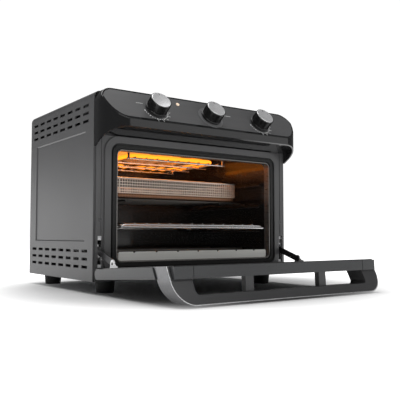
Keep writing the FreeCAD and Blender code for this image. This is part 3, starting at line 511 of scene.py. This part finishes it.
row_count, row_width = 4, 0.0008
for joint_name, row_start, row_up, row_step, row_length in (
    ("timer_turn", -0.0305, 0.0115, 0.0032, 0.0021),
    ("temperature_turn", 0.0345, 0.0105, 0.0036, 0.0024),
):
    place = panel_place(joint_name)
    for i in range(row_count):
        x = row_start + i * row_step
        printed_stroke(dial_marks, place, x, row_up, 0.0, row_length, row_width)
link_piece(
    "dial_marks", dial_marks, ink, Matrix.Identity(4), "oven", smooth=False
)


# ------------------------------------------------------------------ dials
# Each knob is a black moulding with a small foot and fine upright flutes, closed by a spun
# aluminium cap with a chamfered rim. A dark bar on the cap shows where it points.

knob_black = finish(
    "knob_moulding", (0.004, 0.004, 0.004), (0.009, 0.009, 0.009), (0.14, 0.28),
    grain=900.0, relief=0.1,
)
spun_cap = finish(
    "spun_cap", (0.74, 0.74, 0.75), (0.97, 0.97, 0.98), (0.26, 0.42),
    metallic=0.7, grain=700.0, relief=0.06, stretch=(1, 8, 8),
)

turning_steps = 90
knob_outline = [
    (0.0034, 0.0014), (0.0175, 0.0014), (0.0178, 0.0018), (0.0178, 0.0046),
    (0.0176, 0.0050), (0.0172, 0.0052), (0.0172, 0.0200), (0.0170, 0.0208),
    (0.0163, 0.0213), (0.0161, 0.0206), (0.0034, 0.0206), (0.0034, 0.0014),
]
cap_outline = [
    (0.0, 0.0205), (0.01595, 0.0205), (0.0160, 0.0211),
    (0.0154, 0.0217), (0.0150, 0.0216), (0.0, 0.0219),
]
barrel_inner, barrel_outer = 0.0165, 0.0176
smallest_flute = 0.000012
flute_margin, flute_depth = 0.00022, 0.0003
pointer_size, pointer_edge = (0.0007, 0.0042, 0.0002), 0.00005
pointer_seat = (0.0, 0.0125, 0.0218)
for dial in ("timer", "temperature", "function"):
    place = panel_place(f"{dial}_turn")
    rider = f"{dial}_dial"
    grip = turned(knob_outline, turning_steps)
    flutes = []
    for face in grip.faces:
        out = face.calc_center_median().xy.length
        if barrel_inner < out < barrel_outer and face.calc_area() > smallest_flute:
            flutes.append(face)
    bmesh.ops.inset_individual(grip, faces=flutes, thickness=flute_margin, depth=-flute_depth)
    knob = link_piece(f"{dial}_grip", grip, knob_black, place, rider, smooth=False)
    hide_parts(f"{dial}_knob")
    disc = turned(cap_outline, turning_steps)
    cap = link_piece(f"{dial}_cap", disc, spun_cap, place, rider)
    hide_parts(f"{dial}_knob_cap")
    pointer = bmesh.new()
    bmesh.ops.create_cube(pointer, size=1.0)
    bmesh.ops.scale(pointer, vec=pointer_size, verts=pointer.verts)
    bmesh.ops.bevel(
        pointer, geom=pointer.edges[:], offset=pointer_edge,
        segments=1, profile=0.5, affect="EDGES", material=-1,
    )
    bmesh.ops.translate(pointer, vec=pointer_seat, verts=pointer.verts)
    link_piece(f"{dial}_pointer", pointer, knob_black, place, rider, smooth=False)


# ------------------------------------------------------------------ door
# A painted frame holds two panes with a rubber spacer between them, and a thin steel panel
# lines it inside. The outer pane is tinted nearly black.

door_coat = finish(
    "door_coat", (0.03, 0.031, 0.032), (0.052, 0.054, 0.056), (0.26, 0.4), relief=0.08
)
dress(door_coat, "door_frame")

lining = finish(
    "door_lining", (0.03, 0.03, 0.03), (0.05, 0.05, 0.05), (0.2, 0.32),
    metallic=0.5, stretch=(1, 40, 40), grain=50.0,
)
dress(lining, "door_inner_panel")

tinted = finish(
    "tinted_pane", (0.006, 0.006, 0.0065), (0.01, 0.01, 0.0105), (0.02, 0.06),
    relief=0.004, coat=1.0, grain=40.0,
)
dress(tinted, "door_glass_outer")

clear = finish(
    "clear_pane", (0.012, 0.012, 0.0125), (0.018, 0.018, 0.0185), (0.02, 0.06),
    relief=0.004, coat=1.0, grain=40.0,
)
dress(clear, "door_glass_inner")


# ------------------------------------------------------------------ handle
# A moulded bar as wide as the oven, leaning up from the door on two legs and two posts. A
# satin metal band runs round its outside and on past the door's edges; where the band faces
# the front its colour turns near white, a painted highlight along its front edge.

handle_black = finish(
    "handle_moulding", (0.04, 0.04, 0.041), (0.065, 0.065, 0.067), (0.3, 0.46),
    relief=0.12, grain=1100.0,
)
dress(handle_black, "door_handle", "handle_posts")

band = finish(
    "satin_band", (0.14, 0.14, 0.145), (0.22, 0.22, 0.225), (0.26, 0.4),
    metallic=0.9, stretch=(1, 30, 30), grain=70.0,
)
# Painted highlight: the band's surfaces facing the front are coloured near white.
highlight_facing = (-0.6, -0.8)
painted_highlight = (0.95, 0.95, 0.96)
fade_tone(band, "Base Color", depth_of(band, "Normal"), highlight_facing, None, painted_highlight)
dress(band, "handle_trim")


# ------------------------------------------------------------------ frying basket
# Stainless sheet punched all over with small holes, folded into a shallow pan and spot-welded
# to a wire rim. It rides on a dark wire carrier, above a drip pan that is dimpled all over
# and has a copper-brown non-stick coat. Its hollows are not shaped: dark round spots in a grid
# are painted as their shade.

basket_steel = finish(
    "punched_stainless", (0.42, 0.36, 0.3), (0.68, 0.6, 0.52), (0.25, 0.42),
    metallic=1.0, grain=600.0, relief=0.05,
)
basket_low, basket_high = (Vector(corner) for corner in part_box("fry_basket"))
hole_pitch, hole_rim, smallest_hole = 0.0048, 0.0007, 0.000006
sheet = 0.0006
wall_inset = Vector((0.0008, 0.0008, 0.0))
floor_lift = Vector((0.0, 0.0, 0.0004))
basket_corner = 0.008
upright_from = 0.01
punched = bmesh.new()
bmesh.ops.create_cube(punched, size=1.0)
bmesh.ops.scale(punched, vec=basket_high - basket_low - wall_inset, verts=punched.verts)
bmesh.ops.translate(punched, vec=(basket_high + basket_low) / 2 + floor_lift, verts=punched.verts)
bmesh.ops.delete(punched, geom=[f for f in punched.faces if f.normal.z > 0.9], context="FACES")
upright = [e for e in punched.edges if abs(e.verts[0].co.z - e.verts[1].co.z) > upright_from]
bmesh.ops.bevel(
    punched, geom=upright, offset=basket_corner,
    segments=3, profile=0.5, affect="EDGES", material=-1,
)
for axis in range(3):
    span = basket_high[axis] - basket_low[axis]
    count = round(span / hole_pitch)
    across = Vector((0.0, 0.0, 0.0))
    across[axis] = 1.0
    for i in range(1, count):
        cut = basket_low.copy()
        cut[axis] += span * i / count
        everything = punched.verts[:] + punched.edges[:] + punched.faces[:]
        bmesh.ops.bisect_plane(punched, geom=everything, plane_co=cut, plane_no=across)
cells = [f for f in punched.faces if f.calc_area() > smallest_hole]
bmesh.ops.inset_individual(punched, faces=cells, thickness=hole_rim, use_even_offset=True)
bmesh.ops.delete(punched, geom=cells, context="FACES")
basket = link_piece(
    "punched_basket", punched, basket_steel, Matrix.Identity(4), "basket",
    smooth=False,
)
sheet_gauge = basket.modifiers.new("sheet_gauge", "SOLIDIFY")
sheet_gauge.thickness = sheet
sheet_gauge.offset = 0.0
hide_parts("fry_basket")

bright_wire = finish(
    "stainless_wire", (0.5, 0.46, 0.42), (0.74, 0.7, 0.66), (0.15, 0.3),
    metallic=1.0, grain=900.0,
)
dress(bright_wire, "basket_rim")

dark_wire = finish(
    "dark_wire", (0.08, 0.075, 0.07), (0.16, 0.15, 0.14), (0.25, 0.4), metallic=0.9, grain=900.0
)
dress(dark_wire, "basket_carrier")

pan_coat = finish(
    "nonstick_pan", (0.16, 0.075, 0.04), (0.32, 0.16, 0.09), (0.25, 0.4), metallic=0.8, grain=900.0
)
dimple_scale = 190.0
# Painted shade: dark round spots in a grid stand in for the shade in the pan's hollows.
dimple_shade_reach, dimple_shade_tone = (0.28, 0.36), (0.05, 0.02, 0.012)
pan_tree = pan_coat.node_tree
pan_spot = pan_tree.nodes.new("ShaderNodeTexCoord")
dimple_shade_spots = pan_tree.nodes.new("ShaderNodeTexVoronoi")
dimple_shade_spots.inputs["Scale"].default_value = dimple_scale
dimple_shade_spots.inputs["Randomness"].default_value = 0.0
pan_tree.links.new(pan_spot.outputs["Object"], dimple_shade_spots.inputs["Vector"])
fade_tone(pan_coat, "Base Color", dimple_shade_spots.outputs["Distance"], dimple_shade_reach, dimple_shade_tone, None)
dress(pan_coat, "drip_pan")


# ------------------------------------------------------------------ crumb tray
# A folded aluminium tray that slides on the cavity's floor, with an upright front whose top
# edge is nipped at intervals. Rolling leaves a faint grain along its length.

tray_metal = finish(
    "rolled_aluminium", (0.76, 0.76, 0.72), (0.92, 0.92, 0.88), (0.4, 0.58),
    metallic=0.2, stretch=(1, 30, 30), grain=40.0,
)
dress(tray_metal, "crumb_tray")
